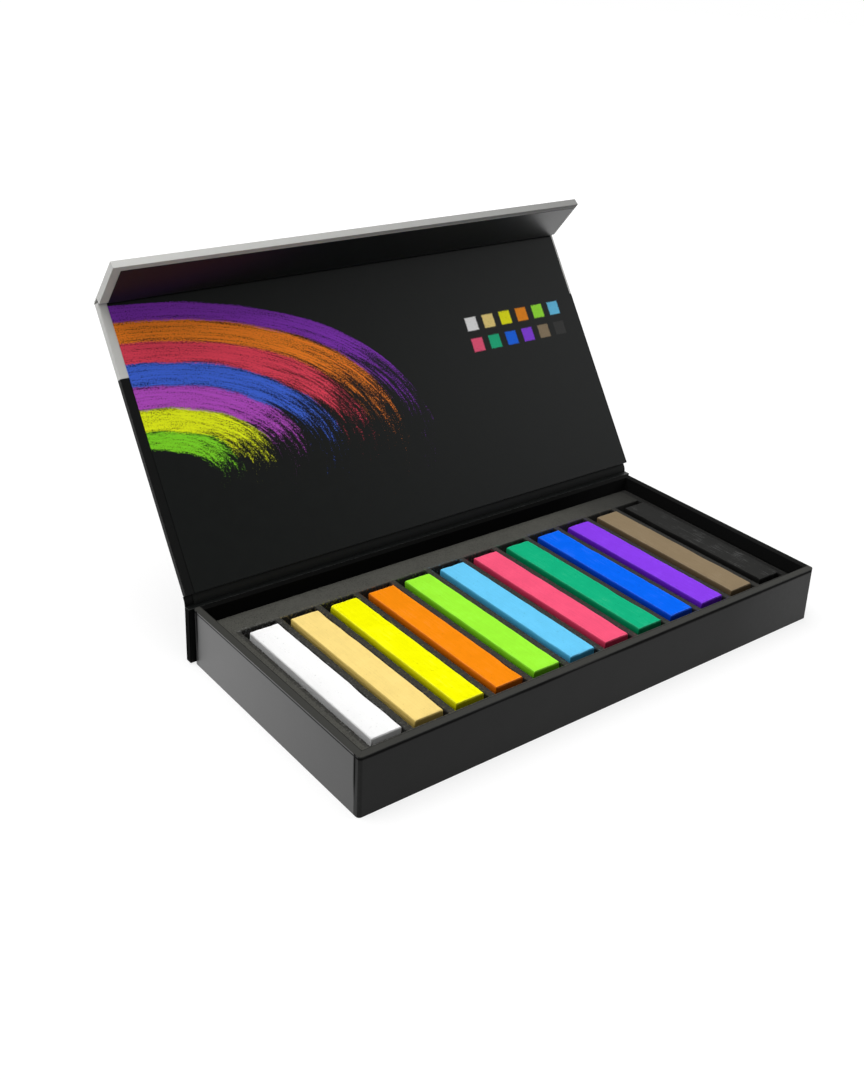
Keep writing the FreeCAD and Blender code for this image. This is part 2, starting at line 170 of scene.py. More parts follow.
# %% A finish
class Finish:
    """A material, or the world's surroundings, whose values may change from place to place."""

    def __init__(self, name, store=bpy.data.materials, shader="Principled BSDF", **fixed):
        self.material = store.new(name)
        self.material.use_nodes = True
        self.tree = self.material.node_tree
        self.shader = self.tree.nodes[shader]
        self.relief = None
        for socket, value in fixed.items():
            self.shader.inputs[socket.replace("_", " ")].default_value = value

    def node(self, kind, settings, inputs, out=0):
        """A node of one kind: its settings first, then the values or links of its sockets."""
        made = self.tree.nodes.new("ShaderNode" + kind)
        for setting, value in settings.items():
            if setting == "stops":
                stops = made.color_ramp.elements
                for place, colour in value[2:]:
                    stops.new(place)
                for stop, (place, colour) in zip(stops, value):
                    stop.position = place
                    stop.color = (*colour, 1)
            elif setting == "steps":
                made.color_ramp.interpolation = value
            else:
                setattr(made, setting, value)
        for socket, value in inputs.items():
            if isinstance(value, Amount):
                self.tree.links.new(value.socket, made.inputs[socket])
            else:
                made.inputs[socket].default_value = value
        return Amount(self, made.outputs[out])

    def math(self, operation, first, second=0):
        """A Math node."""
        return self.node("Math", {"operation": operation}, {0: first, 1: second})

    def place(self, matrix=None):
        """The point on the surface and its three numbers, moved by a matrix where one is given."""
        point = self.node("TexCoord", {}, {}, "Object")
        if matrix:
            turned = {"Location": matrix.translation, "Rotation": matrix.to_euler()}
            point = self.node("Mapping", {}, {"Vector": point, **turned})
        return [point] + [self.node("SeparateXYZ", {}, {0: point}, axis) for axis in "XYZ"]

    def point(self, x, y, z=0):
        """A point put together from its numbers."""
        return self.node("CombineXYZ", {}, {0: x, 1: y, 2: z})

    def grain(self, point, size, detail=2.0, rough=0.5):
        """Even noise about 0.5, with lumps of a size in metres."""
        return self.node("TexNoise", {}, {"Vector": point, "Scale": 1 / size, "Detail": detail,
                                          "Roughness": rough})

    def rise(self, value, start, end):
        """Nought below a start, one above an end, and a smooth climb between them."""
        return self.node("MapRange", {"interpolation_type": "SMOOTHSTEP"},
                         {"Value": value, "From Min": start, "From Max": end})

    def climb(self, value, start, end, low, high):
        """From a low number to a high one, in a straight line."""
        return self.node("MapRange", {}, {"Value": value, "From Min": start, "From Max": end,
                                          "To Min": low, "To Max": high})

    def near(self, value, middle, reach):
        """One at a middle, and nought further than a reach from it."""
        return 1 - self.rise(abs(value - middle), 0, reach)

    def most(self, first, *others):
        """The largest of some values."""
        for other in others:
            first = self.math("MAXIMUM", first, other)
        return first

    def there_and_back(self, value, reach):
        """Climbs to a reach, falls back to nought, and so on, which repeats a pattern as its mirror image."""
        return self.math("PINGPONG", value, reach)

    def bands(self, value, colours):
        """Each colour in turn as a value goes from nought to one, with no blending between them."""
        stops = [(number / len(colours), colour) for number, colour in enumerate(colours)]
        return self.node("ValToRGB", {"stops": stops, "steps": "CONSTANT"}, {0: value})

    def mix(self, share, first, second):
        """From one colour to another, by a share."""
        first, second = [colour if isinstance(colour, Amount) else (*colour, 1) for colour in (first, second)]
        return self.node("Mix", {"data_type": "RGBA"}, {0: share, 6: first, 7: second}, 2)

    def scaled(self, share, colour):
        """One colour times a number."""
        return self.node("VectorMath", {"operation": "SCALE"}, {0: colour, "Scale": share})

    def feed(self, socket, value):
        """Links a value to one of the shader's sockets."""
        self.tree.links.new(value.socket, self.shader.inputs[socket])

    def bump(self, height, depth, strength=1.0):
        """Relief on top of what is there: a height from nought to one, and its depth in metres."""
        under = {} if self.relief is None else {"Normal": self.relief}
        self.relief = self.node("Bump", {}, {"Height": height, "Distance": depth, "Strength": strength,
                                             **under})
        self.feed("Normal", self.relief)

    def deaden(self, share):
        """Mixes in a matte black by a share: painted shade in a gap, a fold or a hollow, where nothing
        shines, and the dark line of a joint.
        """
        matte = self.node("BsdfPrincipled", {}, {"Base Color": (0.0015, 0.0015, 0.0015, 1), "Roughness": 0.9,
                                                 "Specular IOR Level": 0.0})
        mixed = self.node("MixShader", {}, {0: share, 1: Amount(self, self.shader.outputs[0]), 2: matte})
        self.tree.links.new(mixed.socket, self.tree.nodes["Material Output"].inputs["Surface"])


print("a finish can:", ", ".join(name for name in vars(Finish) if not name.startswith("_")))

# %% [markdown]
# ## The papers
#
# The box is wrapped in thin coated paper. It is nearly black with a satin face: a fine grain breaks up
# its gloss, the ink is a little cloudy, and the board under it is never quite flat. One flat black
# would hide all of that, so colour, roughness and relief each follow noise of their own size. Folds
# and wear depend on the piece, so they come later, over this paper.

# %% Black paper
TRAY_INK = (0.0062, 0.0064, 0.0062)
COVER_INK = (0.0032, 0.0035, 0.0034)
FIBRE, CLOUD, BOARD_WAVE = 0.45 * MM, 5 * MM, 14 * MM


def toned(colour, share, depth=1):
    """A colour times a share. A depth above one makes it deeper as well as darker."""
    return [share * tone ** depth for tone in colour]


def satin_paper(name, ink, roughness, gloss, waves, matrix=None, **more):
    """A coated paper over board. Gives the finish, its place, and the number for its fibres."""
    finish = Finish(name, Specular_IOR_Level=gloss, **more)
    place = finish.place(matrix)
    fibre = finish.grain(place[0], FIBRE, 3)
    finish.bump(finish.grain(place[0], BOARD_WAVE, 1), waves, 0.35)
    finish.bump(fibre, 0.02 * MM, 0.5)
    cloud = finish.grain(place[0], CLOUD, 4)
    finish.tint = finish.mix(finish.rise(cloud, 0.3, 0.75), toned(ink, 0.9), toned(ink, 1.1))
    finish.satin = roughness + (fibre - 0.5) * 0.1 + (cloud - 0.5) * 0.06
    finish.feed("Base Color", finish.tint)
    finish.feed("Roughness", finish.satin)
    return finish, place, fibre


print("inks:", TRAY_INK, "on the tray and", COVER_INK, "on the cover")

# %% [markdown]
# ## Building the pieces
#
# A bmesh is Blender's mesh in the making. Most papers already have their true place in the CAD model,
# but with knife-sharp edges. A copy is merged into whole faces and its edges are rounded by an
# operator, so the light finds an edge to run along, as it does on folded paper.

# %% Helpers for meshes
# Points nearer together than TOUCHING are merged into one.
TOUCHING = 0.001 * MM
SHARP, SMOOTH_UP_TO = radians(40), radians(35)


def cut(bm, place, way):
    """Cuts every face that a plane crosses, and leaves both sides."""
    bmesh.ops.bisect_plane(bm, geom=bm.verts[:] + bm.edges[:] + bm.faces[:], plane_co=place, plane_no=way)


def round_edges(bm, edges, width, segments=3):
    """Rounds some edges."""
    bmesh.ops.bevel(bm, geom=edges, offset=width, affect="EDGES", segments=segments, profile=0.5, material=-1,
                    clamp_overlap=True)


def is_sharp(edge):
    """True where two faces meet at a clear angle."""
    return len(edge.link_faces) == 2 and edge.calc_face_angle() > SHARP


def rounded_copy(node, width, segments=3, chosen=None):
    """A merged copy of a CAD piece with its outer edges rounded, or only those whose middle is chosen."""
    bm = bmesh.new()
    bm.from_mesh(cad[node].data)
    bmesh.ops.remove_doubles(bm, verts=bm.verts, dist=TOUCHING)
    bmesh.ops.dissolve_limit(bm, angle_limit=radians(1), verts=bm.verts, edges=bm.edges)
    edges = [edge for edge in bm.edges
             if is_sharp(edge) and edge.is_convex and edge.calc_length() > 3 * width]
    if chosen:
        edges = [edge for edge in edges if chosen((edge.verts[0].co + edge.verts[1].co) / 2)]
    round_edges(bm, edges, width, segments)
    print(f"{node}: {len(edges)} edges rounded, {len(bm.faces)} faces")
    return bm


print("edges sharper than", round(degrees(SHARP)), "degrees can be rounded")


# %% From a mesh to a piece
def piece(name, bm, finish, body, slot, *stands_for):
    """Turns a bmesh into a piece that stands for some CAD pieces, and rides on a body if one is given."""
    mesh = bpy.data.meshes.new(name)
    bm.to_mesh(mesh)
    bm.free()
    mesh.shade_smooth()
    mesh.set_sharp_from_angle(angle=SMOOTH_UP_TO)
    mesh.materials.append(finish.material)
    made = put(name, mesh)
    if body:
        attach(made, body)
        shading = made.modifiers.new("even_shading", "WEIGHTED_NORMAL")
        shading.keep_sharp = True
    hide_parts(*stands_for)
    height = max(vert.co.z for vert in mesh.vertices)
    print(f"{name}: {len(mesh.polygons)} faces, top at {height / MM:.2f} mm")
    return made


print("edges rounder than", round(degrees(SMOOTH_UP_TO)), "degrees are shaded smooth")

# %% [markdown]
# ## The tray
#
# The tray's paper goes round the four walls, over the rim and down inside. The long sides' paper is
# wrapped round each corner onto the short side, and the short side's paper ends just before the
# corner, which leaves a fine upright seam. The seam is a step of one paper's thickness, so relief in
# the finish is enough for it. The rim is rounded in the mesh, because it shows against the foam.
#
# Under the rim a dark line runs round the outside, where the paper turns over: it is painted shade, a
# matte black in the finish. The rim is painted lighter along the front and the left end, where the light
# falls, and matte black elsewhere as painted shade. The corners are rubbed paler, and the right part of
# the walls is painted lighter where the light falls. The inside of the tray is painted shade too. Each
# such place is a mask: a number that is one there, nought elsewhere, and climbs smoothly in between.

# %% Places on the tray's paper
tray_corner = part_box("tray_side_wrap")[1]
rim = tray_corner.z
LAP, RIM_SHADOW_BELOW = 2.1 * MM, 0.74 * MM
tray_black, (point, x, y, z), fibre = satin_paper("tray_black_paper", TRAY_INK, 0.42, 0.14, 0.3 * MM,
                                                  Coat_Roughness=0.35, Coat_IOR=1.65)
rub = tray_black.grain(point, 1.6 * MM, 4, 0.65)
end_wall = tray_black.rise(abs(x), tray_corner.x - 0.1 * MM, tray_corner.x - 0.02 * MM)
on_rim = tray_black.rise(z, rim - 0.14 * MM, rim - 0.04 * MM)
outside = tray_black.most(tray_black.rise(abs(x), tray_corner.x - 0.5 * MM, tray_corner.x - 0.35 * MM),
                          tray_black.rise(abs(y), tray_corner.y - 0.5 * MM, tray_corner.y - 0.35 * MM))
inside = (1 - outside) * (1 - on_rim)
lit_front_and_left = tray_black.most(tray_black.rise(0 - x, tray_corner.x - 2.6 * MM, tray_corner.x - 2 * MM),
                          tray_black.rise(0 - y, tray_corner.y - 2.6 * MM, tray_corner.y - 2 * MM))
front_half = tray_black.rise(0 - y, 0, MM)
print("rim at", round(rim / MM, 1), "mm, seams", round((tray_corner.y - LAP) / MM, 1), "mm from the middle")

# %% Seams, mitres, and painted shade under the rim and inside the tray
lapped = tray_black.rise(abs(y), tray_corner.y - LAP - 0.1 * MM, tray_corner.y - LAP + 0.1 * MM)
tray_black.bump(1 - end_wall * lapped, 0.12 * MM)
mitre = abs(abs(abs(x) - tray_corner.x) - abs(abs(y) - tray_corner.y))
tray_black.bump(on_rim * tray_black.rise(mitre, 0, 0.25 * MM), 0.08 * MM)
lifted = tray_black.rise(z, 3 * MM, 12 * MM)
seam_place = tray_corner.y - LAP + (fibre - 0.5) * 0.15 * MM
seam = end_wall * tray_black.near(abs(y), seam_place, 0.3 * MM + lifted * 0.6 * MM)
rim_shadow_spread = tray_black.rise(tray_black.grain(point, 40 * MM, 1), 0.35, 0.65)
# Painted shade: a dark line under the rim's fold, wider in some places than in others.
rim_shadow_place = rim - RIM_SHADOW_BELOW + (rub - 0.5) * 0.2 * MM
rim_shadow = outside * tray_black.near(z, rim_shadow_place, 0.42 * MM + rim_shadow_spread * (1 - end_wall) * 0.55 * MM)
# Painted shade, as matte black: under the rim, inside the tray, and on the rim away from the front and the
# left end. The seam is a dark joint.
tray_black.deaden(tray_black.most(seam * (0.35 + lifted * 0.6), rim_shadow * 0.92, inside * 0.82,
                                  on_rim * (0.85 - lit_front_and_left * 0.55)))
print("matte black in the seams, under the rim and inside the tray")

# %% Colour and gloss of the tray's paper
corner = tray_black.rise(abs(x) + abs(y), tray_corner.x + tray_corner.y - MM, tray_corner.x + tray_corner.y)
worn = corner * tray_black.rise(rub, 0.35, 0.75)
# Painted light: the right part of the walls is paler, where the light falls.
painted_light_front_right = tray_black.rise(x, 45 * MM, 88 * MM) * (1 - end_wall) * (0.75 + rub * 0.5)
colour = tray_black.mix(painted_light_front_right, tray_black.tint, (0.041, 0.0415, 0.041))
# Painted light: the rim is paler along the front and the left end, where the light falls.
colour = tray_black.mix(on_rim * (0.15 + lit_front_and_left * 0.85), colour, (0.052, 0.052, 0.047))
colour = tray_black.mix(worn * 0.35, colour, (0.1, 0.098, 0.092))
tray_black.feed("Base Color", colour)
tray_black.feed("Roughness", tray_black.satin + on_rim * 0.2)
tray_black.feed("Coat Weight", end_wall * (1 - on_rim) * (1 - lapped * front_half)
                * (0.6 + tray_black.rise(y, -50 * MM, 50 * MM) * 0.4))
print(len(tray_black.tree.nodes), "nodes in the tray's paper")

# %% The tray's two papers
RIM_ROUND, FOOT_ROUND = 0.42 * MM, 0.15 * MM


def at_rim(middle):
    return middle.z > rim - 0.01 * MM


def at_foot(middle):
    return middle.z < 0.01 * MM


piece("tray_paper", rounded_copy("tray_side_wrap", RIM_ROUND, chosen=at_rim), tray_black, "tray",
      "black_wrap", "tray_side_wrap")
piece("tray_base_paper", rounded_copy("tray_base_wrap", FOOT_ROUND, chosen=at_foot), tray_black, "tray",
      "black_wrap", "tray_base_wrap")

# %% [markdown]
# ## The foam
#
# A sheet of dark closed-cell foam holds the sticks. It is die-cut, so each slot has a clean wall, a
# slightly pulled-in top edge, and a face that shows the cut bubbles as fine pits. The sheet starts as
# one flat face. Cuts across it make a row of cells, the slots' cells are taken out, and what is left is
# pulled down into a thick sheet. Its edges are then rounded.
#
# Dust of each pastel lies round its own slot. The finish finds it from the distance to the nearest
# slot, and its colour from how far along the row of sticks a point is. Shade is painted into the foam's
# colour too: round and between the slots, in front of them, by the right wall and towards the right.

# %% The colours of the sticks
STICK_COLOURS = {
    "white": (0.96, 0.96, 0.955),
    "peach": (0.96, 0.75, 0.26),
    "yellow": (0.97, 0.96, 0.0),
    "orange": (0.96, 0.29, 0.004),
    "lime": (0.375, 0.93, 0.043),
    "sky_blue": (0.16, 0.645, 0.96),
    "rose": (0.96, 0.108, 0.225),
    "green": (0.0065, 0.48, 0.23),
    "blue": (0.001, 0.147, 0.93),
    "violet": (0.275, 0.053, 0.86),
    "tan": (0.28, 0.21, 0.125),
    "black": (0.028, 0.028, 0.027)}
sticks = list(STICK_COLOURS)
print(len(sticks), "sticks:", ", ".join(sticks))

# %% Where the slots are
SIDE_GAP, FRONT_GAP, REAR_GAP = 0.9 * MM, 0.6 * MM, 3.6 * MM
foam_low, foam_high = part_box("foam_insert")
first_low, first_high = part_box("pastel_white")
pitch = (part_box("pastel_black")[0].x - first_low.x) / (len(sticks) - 1)
slot_x = [(first_low.x - SIDE_GAP + pitch * number, first_high.x + SIDE_GAP + pitch * number)
          for number in range(len(sticks))]
slot_y = (first_low.y - FRONT_GAP, first_high.y + REAR_GAP)
slots_left, slots_right = slot_x[0][0], slot_x[-1][1]
slot_width = slot_x[0][1] - slot_x[0][0]
slot_middle = (slot_x[0][0] + slot_x[0][1]) / 2
print(f"slots of {slot_width / MM:.1f} mm, every {pitch / MM:.2f} mm")

# %% Foam sheet
SLOT_ROUND, PAD_ROUND = 0.35 * MM, 0.4 * MM


def foam_sheet():
    """The slotted sheet, cut out of one face and pulled down to its thickness."""
    size, middle = foam_high - foam_low, (foam_low + foam_high) / 2
    bm = bmesh.new()
    bmesh.ops.create_grid(bm, x_segments=1, y_segments=1, size=0.5)
    bmesh.ops.scale(bm, vec=(size.x, size.y, 1), verts=bm.verts)
    bmesh.ops.translate(bm, vec=(middle.x, middle.y, foam_high.z), verts=bm.verts)
    for place in [side for slot in slot_x for side in slot]:
        cut(bm, (place, 0, 0), (1, 0, 0))
    for place in slot_y:
        cut(bm, (0, place, 0), (0, 1, 0))
    holes = []
    for face in bm.faces:
        centre = face.calc_center_median()
        in_slot = any(left < centre.x < right for left, right in slot_x)
        if in_slot and slot_y[0] < centre.y < slot_y[1]:
            holes.append(face)
    bmesh.ops.delete(bm, geom=holes, context="FACES")
    pulled = bmesh.ops.extrude_face_region(bm, geom=bm.faces[:])
    low = [item for item in pulled["geom"] if isinstance(item, bmesh.types.BMVert)]
    bmesh.ops.translate(bm, vec=(0, 0, -size.z), verts=low)
    bmesh.ops.recalc_face_normals(bm, faces=bm.faces)
    top = [edge for edge in bm.edges
           if is_sharp(edge) and all(vert.co.z > foam_high.z - 0.01 * MM for vert in edge.verts)]
    round_edges(bm, top, SLOT_ROUND, 4)
    print(f"foam sheet: {len(holes)} slots, {len(top)} top edges rounded, {len(bm.faces)} faces")
    return bm


print("slot edges rounded by", round(SLOT_ROUND / MM, 2), "mm")

# %% Cells of the foam, and the distance to the nearest slot
CELL = 0.55 * MM
foam = Finish("charcoal_foam", Specular_IOR_Level=0.2)
point, x, y, z = foam.place()
cells = foam.node("TexVoronoi", {"feature": "F1"}, {"Vector": point, "Scale": 1 / CELL}, "Distance")
lumps = foam.grain(point, 6 * MM, 3)
foam.bump(lumps, 0.4 * MM, 0.4)
foam.bump(foam.rise(cells, 0.0, 0.55), 0.1 * MM, 0.6)
past_ends = foam.most(slot_y[0] - y, y - slot_y[1])
beyond = foam.most(foam.there_and_back(x - slot_middle, pitch / 2) - slot_width / 2, past_ends,
                   slots_left - x, x - slots_right)
print("cells of", round(CELL / MM, 2), "mm in the foam")

# %% Foam colour, painted shade and pastel dust
DUST_REACH = 2.2 * MM
skin = foam.mix(foam.rise(cells, 0.05, 0.6), (0.03, 0.03, 0.026), (0.062, 0.0615, 0.053))
skin = foam.mix(foam.rise(lumps, 0.35, 0.7) * 0.35, skin, (0.075, 0.074, 0.064))
# Painted shade: the foam is darker round the edges of the slots.
skin = foam.mix((1 - foam.rise(beyond, 0.1 * MM, 0.6 * MM)) * 0.75, skin, (0.008, 0.008, 0.008))
# Painted shade: the ribs between the slots, and a strip in front of them, are darker.
shaded = (1 - foam.rise(past_ends, 0, 0.6 * MM)) * (1 - foam.rise(beyond, 1.2 * MM, 1.7 * MM))
shaded_front_strip = foam.rise(slot_y[0] - y, 0.2 * MM, 1.5 * MM)
skin = foam.mix(foam.most(shaded * 0.6, shaded_front_strip * 0.3), skin, (0.008, 0.0075, 0.0065))
# Painted shade: the foam is darker towards the right.
skin = foam.mix(foam.rise(x, 40 * MM, 86 * MM) * 0.7, skin, (0.011, 0.011, 0.0105))
# Painted shade: a dark strip between the last slot and the right wall.
shaded_right_strip = foam.rise(x, slots_right - 0.5 * MM, slots_right + 0.5 * MM)
skin = foam.mix(shaded_right_strip * 0.6, skin, (0.006, 0.006, 0.006))
dust_colour = foam.bands((x - slot_middle + pitch / 2) / (pitch * len(sticks)), list(STICK_COLOURS.values()))
dusty = (1 - foam.rise(beyond, 0, DUST_REACH)) * foam.rise(foam.grain(point, 0.9 * MM, 4, 0.7), 0.5, 0.78)
foam.feed("Base Color", foam.mix(dusty * 0.2, skin, dust_colour))
foam.feed("Roughness", 0.82 + (foam.grain(point, 0.25 * MM, 2) - 0.5) * 0.2)
foam_piece = piece("slotted_foam", foam_sheet(), foam, "tray", "foam", "foam_insert")

# %% Foam pad under the sticks
pad_low, pad_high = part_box("foam_base_pad")
bm = bmesh.new()
bmesh.ops.create_cube(bm, size=1)
bmesh.ops.scale(bm, vec=pad_high - pad_low, verts=bm.verts)
bmesh.ops.translate(bm, vec=(pad_low + pad_high) / 2, verts=bm.verts)
round_edges(bm, bm.edges[:], PAD_ROUND)
pad_piece = piece("foam_pad", bm, foam, "tray", "foam", "foam_base_pad")
print("foam pad", [round(length / MM, 1) for length in pad_high - pad_low], "mm")

# %% [markdown]
# ## The pastels
#
# A soft pastel is pressed pigment and chalk. Its long faces are flat with faint drag lines from the
# mould, its edges crumble first, and a corner is often chipped. Each bar starts as a cube and gets
# bevelled edges. Extra cuts, closer together near the ends, then let noise wear the edges away, a
# little differently on each stick. The wear takes material off, as it does in a box that is carried
# about, and adds a few hundredths of a millimetre of roughness at most. A bar could be one displaced
# cube, but then its flat faces would bulge as well.
#
# The finish adds what is too fine for the mesh. The top is the pure colour with pale powder along its
# edges. The sides and the ends are painted deeper, as shade, because they lie in the slot's shade, and the
# hollows and pits of the chalk are painted darker as shade too.

# %% Worn bars
STICK_ROUND, EDGE_REACH, END_REACH = 0.42 * MM, 0.7 * MM, 1.5 * MM
NEAR_ENDS = (0.7 * MM, 1.1 * MM, 1.6 * MM, 2.2 * MM)
ROUGH_PER_METRE, CHIPS_PER_METRE, CRUMBS_PER_METRE = 260, 90, 420


def worn_bar(low, high, seed):
    """One pastel bar with crumbled edges and a chipped corner or two."""
    half = (high - low) / 2
    bm = bmesh.new()
    bmesh.ops.create_cube(bm, size=1)
    bmesh.ops.scale(bm, vec=half * 2, verts=bm.verts)
    round_edges(bm, bm.edges[:], STICK_ROUND)
    along = [half.y * (number / 20 - 1) for number in range(2, 39)]
    for place in along + [side * (half.y - back) for side in (-1, 1) for back in NEAR_ENDS]:
        cut(bm, (0, place, 0), (0, 1, 0))
    for axis, cuts in ((0, 8), (2, 6)):
        way = Vector((axis == 0, 0, axis == 2))
        for number in range(1, cuts):
            cut(bm, way * half[axis] * (2 * number / cuts - 1), way)
    shift = Vector((seed * 1.7, seed * 0.9, seed * 2.3))
    for vert in bm.verts:
        # How near the point is to a side, an end, and the top or foot. Near two of them is an edge, near
        # three a corner, so the middle value of the three tells an edge and the smallest a corner.
        out = [abs(vert.co[axis]) - half[axis] + EDGE_REACH for axis in range(3)]
        corner, edge, _ = sorted(max(0, value) / EDGE_REACH for value in out)
        rough = noise.noise(vert.co * ROUGH_PER_METRE + shift)
        chip = max(0, noise.noise(vert.co * CHIPS_PER_METRE + shift * 3) - 0.2)
        crumbs = max(0, noise.noise(vert.co * CRUMBS_PER_METRE + shift * 2))
        at_end = max(0, 1 - (half.y - abs(vert.co.y)) / END_REACH)
        worn = edge * (0.08 * MM * (0.5 + rough) + 0.45 * MM * chip + at_end * crumbs * 0.55 * MM)
        worn += corner * 0.9 * MM * chip
        for axis in range(3):
            if out[axis] > 0:
                vert.co[axis] -= worn * (1 if vert.co[axis] > 0 else -1) * (0.55 if axis == 1 else 1)
    bmesh.ops.translate(bm, vec=(low + high) / 2, verts=bm.verts)
    return bm


print("wear reaches", round(EDGE_REACH / MM, 1), "mm in from a stick's edges")


# %% Chalk finish
# How pale the powder is, how rubbed the faces are, the powder on the edges, and the tones of the painted
# shade in the hollows, on the ends and on the sides.
CHALK_LOOKS = {"black": (0.12, 0.9, 0.35, 0.93, 0.2, 0.8), "white": (1.0, 0.5, 1, 0.98, 0.55, 0.97)}
COMMON_LOOK = (0.16, 0.3, 1, 0.93, 0.3, 0.66)


def chalk(stick, low, high):
    """Pressed chalk: fine grain, drag lines, pits, pale powder on the edges, and painted shade in the hollows
    and pits and on the sides and ends.
    """
    colour = STICK_COLOURS[stick]
    powder_lift, rubbed, edge_powder, hollow_shade_tone, end_shade_tone, side_shade_tone = CHALK_LOOKS.get(stick, COMMON_LOOK)
    middle, half = (low + high) / 2, (high - low) / 2
    finish = Finish("chalk_" + stick, Specular_IOR_Level=0.04, Diffuse_Roughness=0.5)
    point, x, y, z = finish.place()
    grain = finish.grain(point, 0.3 * MM, 4, 0.6)
    drag = finish.grain(finish.point(x * 14, y * 0.7, z * 14), 7 * MM, 2)
    cloud = finish.grain(point, 6 * MM, 4, 0.6)
    pits = finish.rise(finish.grain(point, 0.7 * MM, 3, 0.6), 0.35, 0.28)
    finish.bump(cloud, 0.2 * MM, 0.4)
    finish.bump(drag, 0.04 * MM, 0.4)
    finish.bump(grain, 0.06 * MM, 0.6)
    finish.bump(1 - pits, 0.1 * MM)
    # Painted shade: the chalk is darker in the hollows of its relief.
    body = finish.mix(finish.rise(drag * 0.3 + grain * 0.3 + cloud * 0.4, 0.38, 0.6),
                      toned(colour, hollow_shade_tone), colour)
    # Painted shade: the pits are darker.
    body = finish.mix(pits * 0.4, body, toned(colour, 0.6))
    across, along = abs(x - middle.x), abs(y - middle.y)
    on_side = finish.rise(across, half.x - 0.38 * MM, half.x - 0.14 * MM)
    on_end = finish.rise(along, half.y - 0.45 * MM, half.y - 0.25 * MM)
    # Painted shade: the sides and the ends are deeper in tone.
    body = finish.mix(on_side, body, toned(colour, side_shade_tone, 1.25))
    body = finish.mix(on_end, body, toned(colour, end_shade_tone, 1.25))
    long_edge = finish.rise(across, half.x - 0.7 * MM, half.x - 0.05 * MM)
    short_edge = finish.rise(along, half.y - 0.9 * MM, half.y - 0.1 * MM)
    top_edge = finish.rise(z - middle.z, half.z - 0.7 * MM, half.z - 0.05 * MM)
    streaky = finish.rise(cloud * 0.5 + drag * 0.5, 0.52, 0.66) * rubbed
    powder = finish.most(finish.most(long_edge, short_edge) * top_edge * edge_powder, streaky)
    powder = powder * finish.rise(grain, 0.36, 0.62) * (1 - finish.most(on_side, on_end) * 0.75)
    pale = [tone + (0.97 - tone) * powder_lift for tone in colour]
    finish.feed("Base Color", finish.mix(powder * 0.55, body, pale))
    finish.feed("Roughness", 0.9 + (grain - 0.5) * 0.14)
    return finish


print("sticks with a look of their own:", ", ".join(CHALK_LOOKS))

# %% Twelve pastels
for number, stick in enumerate(sticks, 1):
    low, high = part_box("pastel_" + stick)
    piece(stick + "_stick", worn_bar(low, high, number), chalk(stick, low, high), stick + "_pastel",
          "chalk_" + stick, "pastel_" + stick)
print("each stick measures", [round(length / MM, 1) for length in high - low], "mm")

# %% [markdown]
# ## The cover's outer paper
#
# One printed sheet runs round the whole cover. It is silver grey on the flap and on the first quarter
# of the lid, and black from there on. It turns in round each board's edge, so a margin of it shows
# beside the lining. The print is easiest to lay out on the shut cover, where the lid is level, so the
# finish first turns each point of the open lid back to its shut place. On the lid and the spine only
# the edges away from the folds are rounded, because at a fold a paper hinge carries on from the edge.

# %% The way the lid and the flap are turned
hinges = {joint["name"]: joint for joint in frame["joints"] if joint["type"] == "hinge"}
lid_fold = Vector(hinges["lid_hinge"]["pos_m"])
lid_opened = radians(-hinges["lid_hinge"]["range_deg"][0])


def about(pivot, angle):
    """A turn about a line along X."""
    return Matrix.Translation(pivot) @ Matrix.Rotation(angle, 4, "X") @ Matrix.Translation(-pivot)


lid_shut = about(lid_fold, lid_opened)
flap_fold = lid_shut @ Vector(hinges["flap_hinge"]["pos_m"])
flap_bent = radians(hinges["flap_hinge"]["range_deg"][0])
print(f"lid open by {degrees(lid_opened):.0f} degrees, flap by {degrees(-flap_bent):.0f} past its shut angle")

# %% Silver and black print
SILVER_INK = (0.6, 0.6, 0.58)
INK_EDGE = -22.3 * MM
cover_low, cover_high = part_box("lid_wrap")


def cover_paper(name, all_silver=False):
    """The outer sheet: silver grey before the ink's edge, black behind it, and rubbed at its ends. On the
    flap, painted shade darkens its free edge towards the right.
    """
    finish, (point, x, y, z), fibre = satin_paper(name, COVER_INK, 0.45, 0.06, 0.2 * MM, lid_shut)
    silver = finish.mix(finish.grain(point, 3 * MM, 4), toned(SILVER_INK, 0.95), toned(SILVER_INK, 1.04))
    rubbed = (finish.rise(abs(x), cover_high.x - 0.5 * MM, cover_high.x)
              * finish.rise(finish.grain(point, 1.1 * MM, 4, 0.7), 0.5, 0.72))
    if all_silver:
        free_edge = 1 - finish.rise(z, 1.6 * MM, 3.2 * MM)
        # Painted shade: the free edge of the flap gets darker towards the right.
        shaded_free_edge = free_edge * finish.climb(x, cover_low.x, cover_high.x, 0.0, 0.62)
        silver = finish.mix(shaded_free_edge, silver, (0.07, 0.07, 0.069))
        finish.feed("Base Color", finish.mix(rubbed * 0.2, silver, (0.4, 0.39, 0.37)))
    else:
        front = 1 - finish.rise(y + (fibre - 0.5) * 0.15 * MM, INK_EDGE - 0.08 * MM, INK_EDGE + 0.08 * MM)
        black = finish.mix(rubbed * 0.5, finish.tint, (0.05, 0.049, 0.047))
        finish.feed("Base Color", finish.mix(front, black, silver))
    return finish


cover_print = cover_paper("cover_print")
silver_paper = cover_paper("silver_paper", all_silver=True)
spine_black, (_, x, _, _), _ = satin_paper("spine_black_paper", COVER_INK, 0.45, 0.06, 0.2 * MM)
# Painted shade: the spine paper is mixed with matte black at its two ends.
spine_black.deaden(spine_black.rise(abs(x), cover_high.x - 0.4 * MM, cover_high.x - 0.1 * MM) * 0.8)
print("the print changes from silver to black at", round(INK_EDGE / MM, 1), "mm on the shut lid")

# %% The cover's three outer papers
COVER_ROUND = 0.4 * MM


